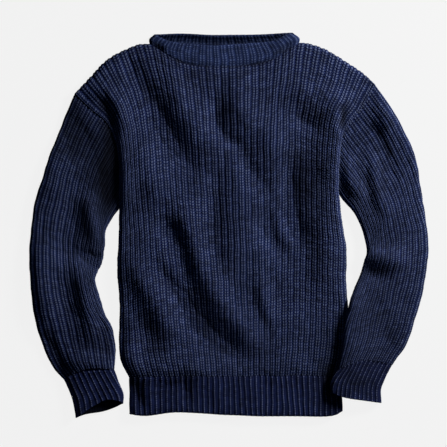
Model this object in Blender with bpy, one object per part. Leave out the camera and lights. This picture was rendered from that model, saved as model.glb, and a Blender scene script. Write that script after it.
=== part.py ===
"""Boat neck sweater in chunky navy rib knit, laid flat on its back.

The maker cuts and sews ten pieces: a front, a back, two sleeves, two ribbed cuffs, a ribbed
hem in two halves and a ribbed neckband in two halves. Each is a closed wall of cloth here.

X runs across the chest, Y from the hem towards the neck and Z up from the table. The origin
is a point on the underside of the back, at the middle of the garment's outline. Sizes are in
millimetres and become metres when a piece is built.

Every piece starts as a flat square blank whose X is the share across the ribs and whose Y is
the share along them. The blank is then laid: each of its points goes where that share of the
cloth lies. Ribs are raised on the outer points only, over a plain inside.
"""

import bmesh
import bpy
import numpy as np

MM = 0.001
CLOSE = 1e-5  # two shares of a blank this near are the same

# The cloth
WALL = 3.4  # thickness of an upper layer between its ribs
RIB = 1.4  # height of a rib above that
SEAM = 0.3  # gap between two pieces that are sewn together
BENT_SEAM = 1.3  # the same where a seam bends at its ends
UNDER = 3.2  # thickness of the flat layer that rests on the table
SLEEVE_UNDER = 3.0  # the same inside a sleeve or cuff
CHAMFER = 2.2  # how far the resting layer's lower edge lies inside its upper edge

# The rolled fold at the edge of a laid piece
ROLL = 16.0  # how far in from the edge the cloth starts to turn down
ROLL_DROP = 8.0  # how far it turns down
LIP = 0.8  # thickness left at the very edge of a lapped piece
LAP = 1.5  # how far the front lies over the top of a sleeve
LAPPED = 8.5  # height of the front's edge where it lies on a sleeve
DRAWN_IN = 1.2  # how far the cloth sinks at a seam or at a free edge
EDGE_ROUND = 6.0  # how far in from a free edge that starts

# Lengths along the ribs
BODY_LENGTH = 585.0
SLEEVE_LENGTH = 610.0
CUFF_LENGTH = 70.0
HEM_LENGTH = 73.0
BAND_LENGTH = 40.0
BACK_BAND_LENGTH = 30.0

# Mean widths of the layers that rest on the table
BODY_WIDTH = 410.0
HEM_WIDTH = 400.0
BAND_WIDTH = 270.0

# Plain outer heights above the table
BODY_HEIGHT = 9.6
HEM_HEIGHT = 8.8
BAND_HEIGHT = 10.4

# Ribs across the upper layer of each piece
BODY_RIBS = 39
SLEEVE_RIBS = 13
CUFF_RIBS = 10
BAND_RIBS = 21

# Shares of the outline where one seam ends and the next begins
ARMPIT = 0.60  # of a body side, from the hem seam up
COLLAR_LEFT = 9 / BODY_RIBS  # of the body's top, from the left shoulder tip
COLLAR_RIGHT = COLLAR_LEFT + BAND_RIBS / BODY_RIBS

# Outlines, in columns of x, y
HEM_SEAM = ((-188, -285), (-120, -281), (0, -283), (120, -281), (211, -283))
HEM_EDGE = (
    (-187, -355),
    (-160, -358),
    (-98, -351),
    (-9, -356),
    (139, -359),
    (197, -356),
    (213, -348),
)
HEM_LEFT = ((-187, -355), (-188, -322), (-188, -285))
HEM_RIGHT = ((213, -348), (213, -322), (211, -283))
SIDE_LEFT = (
    (-188, -285),
    (-202, -255),
    (-206, -215),
    (-206, -140),
    (-209, -84),
    (-206, -27),
    (-206, 34),
)
SIDE_RIGHT = (
    (211, -283),
    (221, -234),
    (223, -165),
    (220, -102),
    (219, -44),
    (212, 5),
    (206, 64),
)
ARMHOLE_LEFT = ((-206, 34), (-206, 114), (-212, 157), (-228, 191), (-258, 219), (-290, 248))
ARMHOLE_RIGHT = (
    (206, 64),
    (207, 123),
    (212, 166),
    (226, 193),
    (246, 216),
    (264, 246),
    (275, 264),
)
SHOULDER_LEFT = (
    (-290, 248),
    (-270, 268),
    (-248, 292),
    (-226, 313),
    (-192, 331),
    (-168, 341),
    (-149, 342),
)
SHOULDER_RIGHT = ((132, 343), (150, 342), (177, 332), (209, 314), (246, 290), (275, 264))
NECK_FRONT = (
    (-149, 342),
    (-128, 328),
    (-107, 314),
    (-79, 305),
    (-26, 299),
    (30, 301),
    (70, 308),
    (92, 318),
    (111, 331),
    (132, 343),
)
NECK_BACK = (
    (-149, 342),
    (-130, 334),
    (-60, 328),
    (-8, 326),
    (60, 328),
    (115, 335),
    (132, 343),
)
BAND_FRONT_EDGE = (
    (-141, 360),
    (-122, 350),
    (-101, 343),
    (-58, 340),
    (-26, 338),
    (10, 340),
    (45, 343),
    (83, 347),
    (103, 356),
    (119, 362),
)
BAND_BACK_EDGE = ((-141, 360), (-100, 360), (-10, 358), (80, 360), (119, 362))
BAND_LEFT = ((-149, 342), (-150, 352), (-141, 360))
BAND_RIGHT = ((132, 343), (133, 352), (119, 362))
SLEEVE_LEFT_OUTER = (
    (-290, 248),
    (-304, 217),
    (-318, 182),
    (-347, 102),
    (-368, 22),
    (-374, -87),
    (-359, -200),
    (-331, -266),
    (-310, -290),
)
SLEEVE_LEFT_INNER = (
    (-206, 34),
    (-223, 11),
    (-233, -10),
    (-235, -39),
    (-241, -72),
    (-253, -101),
    (-245, -129),
    (-234, -166),
    (-218, -200),
    (-214, -234),
    (-218, -272),
)
SLEEVE_RIGHT_OUTER = (
    (275, 264),
    (306, 220),
    (327, 182),
    (346, 139),
    (361, 67),
    (371, 3),
    (374, -49),
    (367, -108),
    (348, -183),
    (330, -228),
    (307, -262),
)
SLEEVE_RIGHT_INNER = (
    (206, 64),
    (217, 46),
    (233, 27),
    (247, 3),
    (256, -22),
    (261, -51),
    (254, -73),
    (246, -97),
    (231, -134),
    (217, -181),
    (212, -223),
    (203, -268),
)
CUFF_LEFT_SEAM = ((-310, -290), (-288, -276), (-265, -269), (-240, -268), (-218, -272))
CUFF_LEFT_OUTER = ((-310, -290), (-301, -311), (-293, -332), (-288, -362))
CUFF_LEFT_INNER = ((-218, -272), (-209, -294), (-200, -316), (-200, -335))
CUFF_LEFT_EDGE = ((-288, -362), (-270, -356), (-238, -351), (-216, -343), (-200, -335))
CUFF_RIGHT_SEAM = ((307, -262), (286, -256), (256, -254), (226, -259), (203, -268))
CUFF_RIGHT_OUTER = ((307, -262), (292, -290), (286, -308), (286, -334))
CUFF_RIGHT_INNER = ((203, -268), (195, -284), (191, -298), (193, -313))
CUFF_RIGHT_EDGE = ((286, -334), (252, -328), (212, -321), (193, -313))

# Plain outer height of a sleeve, in columns of share from armhole to cuff and height
SLEEVE_HEIGHTS = ((0.0, 6.8), (0.05, 8.2), (0.12, 9.8), (0.3, 10.2), (0.93, 10.2), (1.0, 8.8))
SLEEVE_LOWEST = 6.8
CUFF_HEIGHTS = ((0.0, 8.6), (0.25, 9.4), (0.8, 9.6), (1.0, 9.2))
CUFF_LEFT_HEIGHTS = ((0.0, 8.6), (0.25, 9.4), (1.0, 10.3))

# The left cuff gapes: its upper layer ends short of the lower, by this share of its length
CUFF_LEFT_GAPE = 0.22

# Largest folds, in columns of start x, y, middle x, y, end x, y, half width and height.
# A trough has a height below zero.
BODY_FOLDS = (
    (-186, 276, -118, 186, -62, 96, 21, -4.5),
    (-128, 292, -62, 190, -12, 104, 24, 4.5),
    (-24, 226, 22, 144, 76, 70, 22, -3.5),
    (-84, 20, -30, -130, 62, -238, 22, 5.5),
    (-116, -46, -86, -130, -54, -196, 19, -3.5),
    (-164, -88, -124, -152, -94, -212, 17, 4.0),
    (122, 116, 138, 12, 160, -104, 26, -2.5),
    (-198, 216, -194, 120, -196, 34, 16, 4.0),
    (200, 236, 196, 140, 198, 70, 16, 4.0),
    (-160, -258, 0, -250, 180, -256, 26, 2.6),
    (50, -108, 58, -150, 66, -178, 14, -3.0),
)
SLEEVE_LEFT_FOLDS = (
    (-330, 110, -318, 20, -300, -40, 24, -2.5),
    (-262, -64, -290, -78, -318, -86, 16, 3.2),
    (-252, -102, -276, -116, -300, -142, 18, -3.2),
    (-342, -180, -320, -226, -300, -252, 18, 2.4),
    (-262, 130, -256, 60, -262, 0, 16, -2.4),
)
SLEEVE_RIGHT_FOLDS = (
    (262, 200, 290, 140, 308, 70, 20, -3.0),
    (232, 160, 262, 90, 276, 20, 18, 2.4),
    (262, -52, 288, -56, 312, -58, 15, 3.2),
    (256, -76, 282, -80, 308, -84, 15, -3.4),
    (318, -170, 296, -204, 284, -236, 20, 2.4),
)

# The end of the right sleeve lies on the body's edge, in columns of y, x where the sleeve is
# fully up on the body, x where it comes down to the table, and height
RIGHT_LIFT = (
    (-100, 226, 244, 0.0),
    (-150, 230, 262, 9.5),
    (-190, 231, 268, 12.4),
    (-340, 227, 268, 12.4),
)

NAVY = (0.028, 0.036, 0.088)
NAVY_DEEP = (0.022, 0.029, 0.074)


def curve_through(points):
    """A smooth curve through the points, as a function of the share of its length."""
    knots = np.array(points, float)
    chords = np.hypot(*np.diff(knots, axis=0).T)
    at = np.concatenate([[0.0], np.cumsum(np.sqrt(chords))])
    slopes = np.gradient(knots, at, axis=0)
    fine = np.linspace(0.0, at[-1], 60 * len(chords))
    piece = np.clip(np.searchsorted(at, fine, side="right") - 1, 0, len(chords) - 1)
    span = (at[piece + 1] - at[piece])[:, None]
    t = (fine - at[piece])[:, None] / span
    start = (1 + 2 * t) * (1 - t) ** 2 * knots[piece] + t * (1 - t) ** 2 * span * slopes[piece]
    end = t**2 * (3 - 2 * t) * knots[piece + 1] + t**2 * (t - 1) * span * slopes[piece + 1]
    line = start + end
    length = np.concatenate([[0.0], np.cumsum(np.hypot(*np.diff(line, axis=0).T))])
    share = length / length[-1]
    return lambda s: np.stack([np.interp(s, share, line[:, k]) for k in (0, 1)], axis=-1)


def joined(curves, splits):
    """Several curves end to end as one, each taking its own stretch of the shares."""
    ends = (0.0, *splits, 1.0)

    def at(s):
        s = np.asarray(s, float)
        xy = curves[0](np.clip(s / ends[1], 0, 1))
        for k in range(1, len(curves)):
            local = (s - ends[k]) / (ends[k + 1] - ends[k])
            xy = np.where((local > 0)[..., None], curves[k](np.clip(local, 0, 1)), xy)
        return xy

    return at


def stretched(bottom, top, left, right):
    """Cloth stretched between four edge curves: the plan place of a share across and along."""

    def at(u, v):
        across = np.asarray(u, float)[..., None]
        along = np.asarray(v, float)[..., None]
        edges = (1 - along) * bottom(u) + along * top(u) + (1 - across) * left(v) + across * right(v)
        low = (1 - across) * bottom(0.0) + across * bottom(1.0)
        high = (1 - across) * top(0.0) + across * top(1.0)
        return edges - (1 - along) * low - along * high

    return at


def smooth_step(x, low, high):
    t = np.clip((x - low) / (high - low), 0, 1)
    return t * t * (3 - 2 * t)


def fold_height(rows, xy):
    """Soft ridges and troughs: each fades with the distance from its line and at its ends."""
    height = np.zeros(xy.shape[:-1])
    t = np.linspace(0, 1, 25)[:, None]
    taper = 1 - (2 * t[:, 0] - 1) ** 4 * 0.85
    for x1, y1, x2, y2, x3, y3, width, peak in rows:
        start, middle, end = np.array([[x1, y1], [x2, y2], [x3, y3]], float)
        line = start * (1 - t) * (1 - 2 * t) + middle * 4 * t * (1 - t) + end * t * (2 * t - 1)
        away = np.linalg.norm(xy[..., None, :] - line, axis=-1)
        height += peak * (taper * np.exp(-((away / width) ** 2))).max(axis=-1)
    return height


def rolled(u, width, inset):
    """Where a share of a cloth's width lies once both its edges roll down.

    Returns the share of the flat width and how far up the cloth is, from 0 at an edge to 1.
    The wall's inner face starts inset from the edge.
    """
    turn = np.pi / 2 * np.sqrt((ROLL**2 + ROLL_DROP**2) / 2)
    cloth = width + 2 * (turn - ROLL)
    near = np.minimum(u, 1 - u) * cloth
    angle = np.clip(near / turn, 0, 1) * np.pi / 2
    inward = inset + (ROLL - inset) * (1 - np.cos(angle)) + np.maximum(near - turn, 0)
    share = inward / width
    return np.where(u < 0.5, share, 1 - share), np.sin(angle)


def rib(u, count):
    """1 on a rib's crest and 0 in the groove between two."""
    return 0.5 - 0.5 * np.cos(2 * np.pi * count * u)


def raised(plain, u, v, ribs, height):
    """The plain outer face with its ribs raised along the face's own normal."""
    step = 1e-4
    across = plain(np.clip(u + step, 0, 1), v) - plain(np.clip(u - step, 0, 1), v)
    along = plain(u, np.clip(v + step, 0, 1)) - plain(u, np.clip(v - step, 0, 1))
    normal = np.cross(across, along)
    normal /= np.linalg.norm(normal, axis=-1, keepdims=True)
    normal *= np.sign(normal[..., 2].mean())
    return plain(u, v) + normal * (height * rib(u, ribs))[..., None]


def lifted(xy, z):
    return np.concatenate([xy, np.broadcast_to(z, xy.shape[:-1])[..., None]], axis=-1)


def seam_share(length, gap=SEAM):
    return gap / 2 / length


LEFT_BODY = joined((curve_through(SIDE_LEFT), curve_through(ARMHOLE_LEFT)), (ARMPIT,))
RIGHT_BODY = joined((curve_through(SIDE_RIGHT), curve_through(ARMHOLE_RIGHT)), (ARMPIT,))


def body_plan(neck):
    tops = (curve_through(SHOULDER_LEFT), curve_through(neck), curve_through(SHOULDER_RIGHT))
    top = joined(tops, (COLLAR_LEFT, COLLAR_RIGHT))
    return stretched(curve_through(HEM_SEAM), top, LEFT_BODY, RIGHT_BODY)


def on_shoulder(u):
    """1 along the two shoulders and 0 along the neck."""
    left = 1 - smooth_step(u, COLLAR_LEFT - 0.03, COLLAR_LEFT)
    right = smooth_step(u, COLLAR_RIGHT, COLLAR_RIGHT + 0.03)
    return left + right


def front_faces():
    plan = body_plan(NECK_FRONT)
    seam = seam_share(BODY_LENGTH)

    def place(u, v, inset, wall):
        v = seam + v * (1 - 2 * seam)
        width = np.linalg.norm(RIGHT_BODY(v) - LEFT_BODY(v), axis=-1)
        share, up = rolled(u, width, inset)
        side = np.where(u < 0.5, -1, 1)
        on_sleeve = smooth_step(v, ARMPIT - 0.04, ARMPIT) * (1 - smooth_step(v, 0.97, 1))
        share = share + side * on_sleeve * LAP / width * (1 - up)
        from_top = (1 - v) * BODY_LENGTH
        shoulder = on_shoulder(u)
        turn = np.sqrt(1 - (1 - np.clip(from_top / ROLL, 0, 1)) ** 2)
        up_all = up * (1 - shoulder * (1 - turn))
        at_top = smooth_step(v, 1 - ROLL / BODY_LENGTH, 1)
        xy = plan(share, v - shoulder * at_top * inset / BODY_LENGTH)
        near_edge = 1 - smooth_step(np.minimum(u, 1 - u), 0.0, 0.08)
        lap = smooth_step(v, ARMPIT - 0.05, ARMPIT - 0.01)
        rim = UNDER + SEAM + (LAPPED - UNDER - SEAM) * lap * near_edge
        low = rim + np.where(wall > 0, 0, LIP)
        crest = BODY_HEIGHT + fold_height(BODY_FOLDS, xy)
        crest = crest - DRAWN_IN * (1 - smooth_step(v, 0.0, 0.05)) - wall
        crest = np.maximum(crest, UNDER + SEAM + WALL - wall)
        return lifted(xy, low + (crest - low) * up_all)

    def plain(u, v):
        return place(u, v, 0.0, 0.0)

    def outer(u, v):
        return raised(plain, u, v, BODY_RIBS, RIB)

    def inner(u, v):
        return place(u, v, WALL, WALL)

    return outer, inner


def resting_faces(plan, length, width):
    """A flat layer on the table: its upper face reaches the outline, its lower one is smaller."""
    v_seam = seam_share(length)
    u_seam = seam_share(width)

    def at(u, v, inset, z):
        u_edge = u_seam + inset / width
        v_edge = v_seam + inset / length
        xy = plan(u_edge + u * (1 - 2 * u_edge), v_edge + v * (1 - 2 * v_edge))
        return lifted(xy, z)

    def outer(u, v):
        return at(u, v, CHAMFER, 0.0)

    def inner(u, v):
        return at(u, v, 0.0, UNDER)

    return outer, inner


def trim_faces(plan, length, ribs, heights, free_end, gap):
    """A ribbed band on the upper layer, sewn at one end and free at the other."""
    seam = seam_share(length, gap)

    def place(u, v, inset, wall):
        v = seam + v * (1 - 2 * seam)
        left = plan(np.zeros_like(u), v)
        right = plan(np.ones_like(u), v)
        width = np.linalg.norm(right - left, axis=-1)
        share, up = rolled(u, width, inset)
        xy = plan(share, v)
        to_free = np.abs(free_end - v) * length
        crest = np.interp(v, *zip(*heights)) - wall
        if not wall:
            crest = crest - DRAWN_IN * (1 - smooth_step(to_free, 0, EDGE_ROUND))
        low = UNDER + SEAM + np.where(wall > 0, 0, LIP)
        return lifted(xy, low + (np.maximum(crest, low) - low) * up)

    def plain(u, v):
        return place(u, v, 0.0, 0.0)

    def outer(u, v):
        return raised(plain, u, v, ribs, RIB)

    def inner(u, v):
        return place(u, v, WALL, WALL)

    return outer, inner


def lift_on_body(xy):
    """How high the right sleeve's end is carried by the body's edge that it lies on."""
    ys, highs, lows, tops = (np.array(column) for column in zip(*RIGHT_LIFT[::-1]))
    y = xy[..., 1]
    full = np.interp(y, ys, highs)
    down = np.interp(y, ys, lows)
    return np.interp(y, ys, tops) * (1 - smooth_step((xy[..., 0] - full) / (down - full), 0, 1))


def tube_faces(plan, length, ribs, heights, folds, lift, gape=0.0):
    """A flattened tube: the blank's first columns, one a rib, make its top, the rest its base."""
    seam = seam_share(length, BENT_SEAM)
    base_columns = len(LOWER_SHARES) - 1
    columns = ribs + base_columns

    def width_at(v):
        return np.linalg.norm(plan(np.ones_like(v), v) - plan(np.zeros_like(v), v), axis=-1)

    def height_at(xy, v):
        height = np.interp(v, *zip(*heights)) + fold_height(folds, xy) * smooth_step(v, 0, 0.1)
        return np.maximum(height, SLEEVE_LOWEST)

    def top(s, v, inset, wall):
        v = seam + v * (1 - 2 * seam)
        v = v * (1 - gape * v * np.sin(np.pi * s**1.6))
        share, up = rolled(s, width_at(v), inset)
        xy = plan(share, v)
        middle = height_at(xy, v) / 2
        return lifted(xy, middle + (middle - wall) * up + lift(xy))

    def base(s, v, inset, wall):
        v = seam + v * (1 - 2 * seam)
        inset = inset / width_at(v)
        xy = plan(np.clip(s, inset, 1 - inset), v)
        return lifted(xy, (SLEEVE_UNDER if wall else 0.0) + lift(xy))

    def face(u, v, inset, wall):
        x = np.round(u * columns, 4)

        def plain(s, t):
            return top(s, t, inset, wall)

        s_top = np.clip(x / ribs, 0, 1)
        upper = plain(s_top, v) if wall else raised(plain, s_top, v, ribs, RIB)
        s_base = np.interp(x, ribs + np.arange(base_columns + 1), LOWER_SHARES[::-1])
        lower = base(s_base, v, inset, wall)
        edges = plain(np.where(x == ribs, 1.0, 0.0), v)
        on_edge = (x == 0) | (x == ribs) | (x == columns)
        points = np.where((x < ribs)[..., None], upper, lower)
        return np.where(on_edge[..., None], edges, points)

    def outer(u, v):
        return face(u, v, 0.0, 0.0)

    def inner(u, v):
        return face(u, v, WALL, WALL)

    return outer, inner


def blank(columns, rows, cuts, ribbed_columns, tube):
    """A unit square wall, z 1 outside and 0 inside, with the ribbed outer columns cut finer."""
    bm = bmesh.new()
    bmesh.ops.create_grid(bm, x_segments=columns, y_segments=rows, size=0.5)
    bmesh.ops.translate(bm, verts=bm.verts, vec=(0.5, 0.5, 1.0))
    bmesh.ops.solidify(bm, geom=bm.faces[:], thickness=1.0)
    if tube:
        centres = [(face, face.calc_center_median().x) for face in bm.faces]
        sides = [face for face, x in centres if min(x, 1 - x) < CLOSE]
        bmesh.ops.delete(bm, geom=sides, context="FACES_ONLY")
    top = max(v.co.z for v in bm.verts)
    across = []
    for edge in bm.edges:
        a, b = (v.co for v in edge.verts)
        on_ribs = max(a.x, b.x) < ribbed_columns / columns + CLOSE
        if on_ribs and min(a.z, b.z) > top - 0.5 and abs(a.y - b.y) < CLOSE:
            across.append(edge)
    if cuts:
        bmesh.ops.subdivide_edges(bm, edges=across, cuts=cuts, use_grid_fill=True)
    return bm, top


def even(count, low=0.0, high=1.0):
    return tuple(np.linspace(low, high, count + 1))


def wool(name, colour):
    material = bpy.data.materials.new(name)
    material.use_nodes = True
    shader = material.node_tree.nodes["Principled BSDF"]
    shader.inputs["Base Color"].default_value = (*colour, 1.0)
    shader.inputs["Roughness"].default_value = 0.95
    shader.inputs["Metallic"].default_value = 0.0
    return material


def sew(name, faces, across, along, ribbed_columns=0, cuts=0, tube=False, colour=NAVY):
    """Cuts the blank at the shares across and along, lays its points and adds the piece."""
    outer, inner = faces
    bm, top = blank(len(across) - 1, len(along) - 1, cuts, ribbed_columns, tube)
    flat = np.array([v.co for v in bm.verts])
    u = np.interp(flat[:, 0], even(len(across) - 1), across)
    v = np.interp(flat[:, 1], even(len(along) - 1), along)
    outside = (flat[:, 2] > top - 0.5)[:, None]
    laid = np.where(outside, outer(u, v), inner(u, v)) * MM
    for vertex, place in zip(bm.verts, laid):
        vertex.co = place
    if tube:
        bmesh.ops.remove_doubles(bm, verts=bm.verts, dist=1e-6)
    if bm.calc_volume(signed=True) < 0:
        bmesh.ops.reverse_faces(bm, faces=bm.faces)
    mesh = bpy.data.meshes.new(name)
    bm.to_mesh(mesh)
    bm.free()
    mesh.shade_smooth()
    mesh.materials.append(wool(name + "_wool", colour))
    piece = bpy.data.objects.new(name, mesh)
    bpy.data.collections["boat_neck_sweater"].objects.link(piece)


# Shares across a resting layer: fine at both edges, so that it lies flat almost up to them
LOWER_SHARES = (0.0, 0.03, 0.216, 0.4, 0.6, 0.784, 0.97, 1.0)


def sew_body():
    near_top = (1 - ROLL / BODY_LENGTH, 1 - ROLL / 3 / BODY_LENGTH, 1.0)
    rows = even(11, 0.0, ARMPIT)[:-1] + even(8, ARMPIT, 0.94) + near_top
    sew("front", front_faces(), even(26), rows, ribbed_columns=26, cuts=2)
    back = resting_faces(body_plan(NECK_BACK), BODY_LENGTH, BODY_WIDTH)
    armhole = tuple(ARMPIT + (1 - ARMPIT) * s for s in LOWER_SHARES)
    neck = even(8, COLLAR_LEFT, COLLAR_RIGHT)
    columns = even(3, 0.0, COLLAR_LEFT)[:-1] + neck + even(3, COLLAR_RIGHT, 1.0)[1:]
    sew("back", back, columns, even(7, 0.0, ARMPIT)[:-1] + armhole)


def sew_hem():
    edge, seam = curve_through(HEM_EDGE), curve_through(HEM_SEAM)
    plan = stretched(edge, seam, curve_through(HEM_LEFT), curve_through(HEM_RIGHT))
    heights = ((0.0, HEM_HEIGHT), (0.8, HEM_HEIGHT), (1.0, BODY_HEIGHT - DRAWN_IN))
    front = trim_faces(plan, HEM_LENGTH, BODY_RIBS, heights, 0.0, SEAM)
    rows = (0.0, 0.08, 0.5, 0.85, 1.0)
    sew("hem_front", front, even(26), rows, ribbed_columns=26, cuts=2, colour=NAVY_DEEP)
    back = resting_faces(plan, HEM_LENGTH, HEM_WIDTH)
    sew("hem_back", back, even(16), even(2), colour=NAVY_DEEP)


def sew_neckband():
    left, right = curve_through(BAND_LEFT), curve_through(BAND_RIGHT)
    seam, edge = curve_through(NECK_FRONT), curve_through(BAND_FRONT_EDGE)
    heights = ((0.0, BODY_HEIGHT - DRAWN_IN), (0.35, BAND_HEIGHT), (1.0, BAND_HEIGHT))
    plan = stretched(seam, edge, left, right)
    front = trim_faces(plan, BAND_LENGTH, BAND_RIBS, heights, 1.0, BENT_SEAM)
    rows = (0.0, 0.3, 0.65, 0.9, 1.0)
    sew("neckband_front", front, even(14), rows, ribbed_columns=14, cuts=2, colour=NAVY_DEEP)
    plan = stretched(curve_through(NECK_BACK), curve_through(BAND_BACK_EDGE), left, right)
    back = resting_faces(plan, BACK_BAND_LENGTH, BAND_WIDTH)
    sew("neckband_back", back, even(8), even(2), colour=NAVY_DEEP)


def no_lift(xy):
    return np.zeros(xy.shape[:-1])


def sew_sleeve(side, armhole, outer, inner, seam, folds, lift):
    armhole_down = curve_through(armhole[::-1])
    plan = stretched(armhole_down, curve_through(seam), curve_through(outer), curve_through(inner))
    faces = tube_faces(plan, SLEEVE_LENGTH, SLEEVE_RIBS, SLEEVE_HEIGHTS, folds, lift)
    rows = (0.0, 0.03, 0.07, 0.12) + even(14, 0.17, 0.94) + (0.975, 1.0)
    columns = even(SLEEVE_RIBS + len(LOWER_SHARES) - 1)
    sew("sleeve_" + side, faces, columns, rows, SLEEVE_RIBS, cuts=1, tube=True)


def sew_cuff(side, seam, outer, inner, edge, heights, lift, gape=0.0):
    plan = stretched(*(curve_through(points) for points in (seam, edge, outer, inner)))
    faces = tube_faces(plan, CUFF_LENGTH, CUFF_RIBS, heights, (), lift, gape)
    rows = (0.0, 0.12, 0.4, 0.7, 1.0)
    columns = even(CUFF_RIBS + len(LOWER_SHARES) - 1)
    sew("cuff_" + side, faces, columns, rows, CUFF_RIBS, cuts=1, tube=True, colour=NAVY_DEEP)


def main():
    for stray in list(bpy.data.objects):
        bpy.data.objects.remove(stray)
    collection = bpy.data.collections.new("boat_neck_sweater")
    bpy.context.scene.collection.children.link(collection)
    sew_body()
    sew_hem()
    sew_neckband()
    left = (SLEEVE_LEFT_OUTER, SLEEVE_LEFT_INNER, CUFF_LEFT_SEAM, SLEEVE_LEFT_FOLDS)
    sew_sleeve("left", ARMHOLE_LEFT, *left, no_lift)
    right = (SLEEVE_RIGHT_OUTER, SLEEVE_RIGHT_INNER, CUFF_RIGHT_SEAM, SLEEVE_RIGHT_FOLDS)
    sew_sleeve("right", ARMHOLE_RIGHT, *right, lift_on_body)
    left = (CUFF_LEFT_SEAM, CUFF_LEFT_OUTER, CUFF_LEFT_INNER, CUFF_LEFT_EDGE)
    sew_cuff("left", *left, CUFF_LEFT_HEIGHTS, no_lift, CUFF_LEFT_GAPE)
    right = (CUFF_RIGHT_SEAM, CUFF_RIGHT_OUTER, CUFF_RIGHT_INNER, CUFF_RIGHT_EDGE)
    sew_cuff("right", *right, CUFF_HEIGHTS, lift_on_body)


main()
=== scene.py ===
# %% [markdown]
# # A boat neck sweater in chunky navy wool, laid flat
# The imported model gives the sweater's plain solids. This lesson knits over them: every panel
# becomes a thin wall of cloth with its own ribs and stitches. First the solids are loaded.

# %% Load the plain solids
import math

import bmesh
import bpy
import numpy as np
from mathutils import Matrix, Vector


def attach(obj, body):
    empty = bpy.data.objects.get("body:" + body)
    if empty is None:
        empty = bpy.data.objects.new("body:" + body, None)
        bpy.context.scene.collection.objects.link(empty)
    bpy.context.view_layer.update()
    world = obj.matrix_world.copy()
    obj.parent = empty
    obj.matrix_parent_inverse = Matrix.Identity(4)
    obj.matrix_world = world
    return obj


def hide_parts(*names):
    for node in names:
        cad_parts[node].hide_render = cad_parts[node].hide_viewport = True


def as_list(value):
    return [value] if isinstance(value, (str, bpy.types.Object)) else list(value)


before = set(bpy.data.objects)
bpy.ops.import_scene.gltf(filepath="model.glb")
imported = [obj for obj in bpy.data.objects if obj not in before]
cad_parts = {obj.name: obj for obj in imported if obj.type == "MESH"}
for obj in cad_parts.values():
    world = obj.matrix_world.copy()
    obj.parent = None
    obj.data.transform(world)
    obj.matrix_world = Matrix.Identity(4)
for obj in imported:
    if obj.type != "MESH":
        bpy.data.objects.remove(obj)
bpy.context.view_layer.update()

MM = 0.001
print("plain solids:", ", ".join(sorted(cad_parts)))

# %% [markdown]
# The sweater was seen from straight above, so the camera hangs over it and looks down. A long
# lens far away keeps the near and far layers at almost one scale, as a flat lay is shot.
# A wide lens near the cloth would bend the sleeves outwards.

# %% Hang the camera
PICTURE_SIDE = 447  # pixels
PIXEL = 1.88 * MM  # what one pixel covers on the cloth
CLOTH_LEVEL = 8 * MM
CAMERA_HEIGHT = 2.5
CAMERA_X, CAMERA_Y = -10.3 * MM, 3.8 * MM
SENSOR = 36.0


def added(name, data):
    """A new object in the scene."""
    thing = bpy.data.objects.new(name, data)
    bpy.context.scene.collection.objects.link(thing)
    return thing


camera = added("camera", bpy.data.cameras.new("camera"))
bpy.context.scene.camera = camera
camera.data.sensor_width = SENSOR
camera.data.lens = SENSOR * (CAMERA_HEIGHT - CLOTH_LEVEL) / (PICTURE_SIDE * PIXEL)
camera.location = (CAMERA_X, CAMERA_Y, CAMERA_HEIGHT)
print(f"lens {camera.data.lens:.0f} mm")

# %% [markdown]
# A knitter plans a sweater as flat panels. Each panel's outline is a few points with a smooth
# curve through them, given here in millimetres from the middle of the sweater: X across the
# chest, Y towards the neck. Splines drawn by hand in the editor would do the same, but a table
# is easier to read and to change.

# %% Outlines of the body, hem and neckband
HEM_SEAM = ((-188, -285), (-120, -281), (0, -283), (120, -281), (211, -283))
HEM_EDGE = ((-187, -355), (-160, -358), (-98, -351), (-9, -356), (139, -359), (197, -356), (213, -348))
HEM_LEFT = ((-187, -355), (-188, -322), (-188, -285))
HEM_RIGHT = ((213, -348), (213, -322), (211, -283))
SIDE_LEFT = ((-188, -285), (-202, -255), (-206, -215), (-206, -140), (-209, -84), (-206, -27), (-206, 34))
SIDE_RIGHT = ((211, -283), (221, -234), (223, -165), (220, -102), (219, -44), (212, 5), (206, 64))
ARMHOLE_LEFT = ((-206, 34), (-206, 114), (-212, 157), (-228, 191), (-258, 219), (-290, 248))
ARMHOLE_RIGHT = ((206, 64), (207, 123), (212, 166), (226, 193), (246, 216), (264, 246), (275, 264))
SHOULDER_LEFT = (
    (-290, 248), (-270, 268), (-248, 292), (-226, 313), (-192, 331), (-168, 341), (-149, 342)
)
SHOULDER_RIGHT = ((132, 343), (150, 342), (177, 332), (209, 314), (246, 290), (275, 264))
NECK_FRONT = (
    (-149, 342), (-128, 328), (-107, 314), (-79, 305), (-26, 299),
    (30, 301), (70, 308), (92, 318), (111, 331), (132, 343),
)
NECK_BACK = ((-149, 342), (-130, 334), (-60, 328), (-8, 326), (60, 328), (115, 335), (132, 343))
BAND_FRONT_EDGE = (
    (-141, 360), (-122, 350), (-101, 343), (-58, 340), (-26, 338),
    (10, 340), (45, 343), (83, 347), (103, 356), (119, 362),
)
BAND_BACK_EDGE = ((-141, 360), (-100, 360), (-10, 358), (80, 360), (119, 362))
BAND_LEFT = ((-149, 342), (-150, 352), (-141, 360))
BAND_RIGHT = ((132, 343), (133, 352), (119, 362))
print("body width", SIDE_RIGHT[2][0] - SIDE_LEFT[2][0], "mm")

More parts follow.
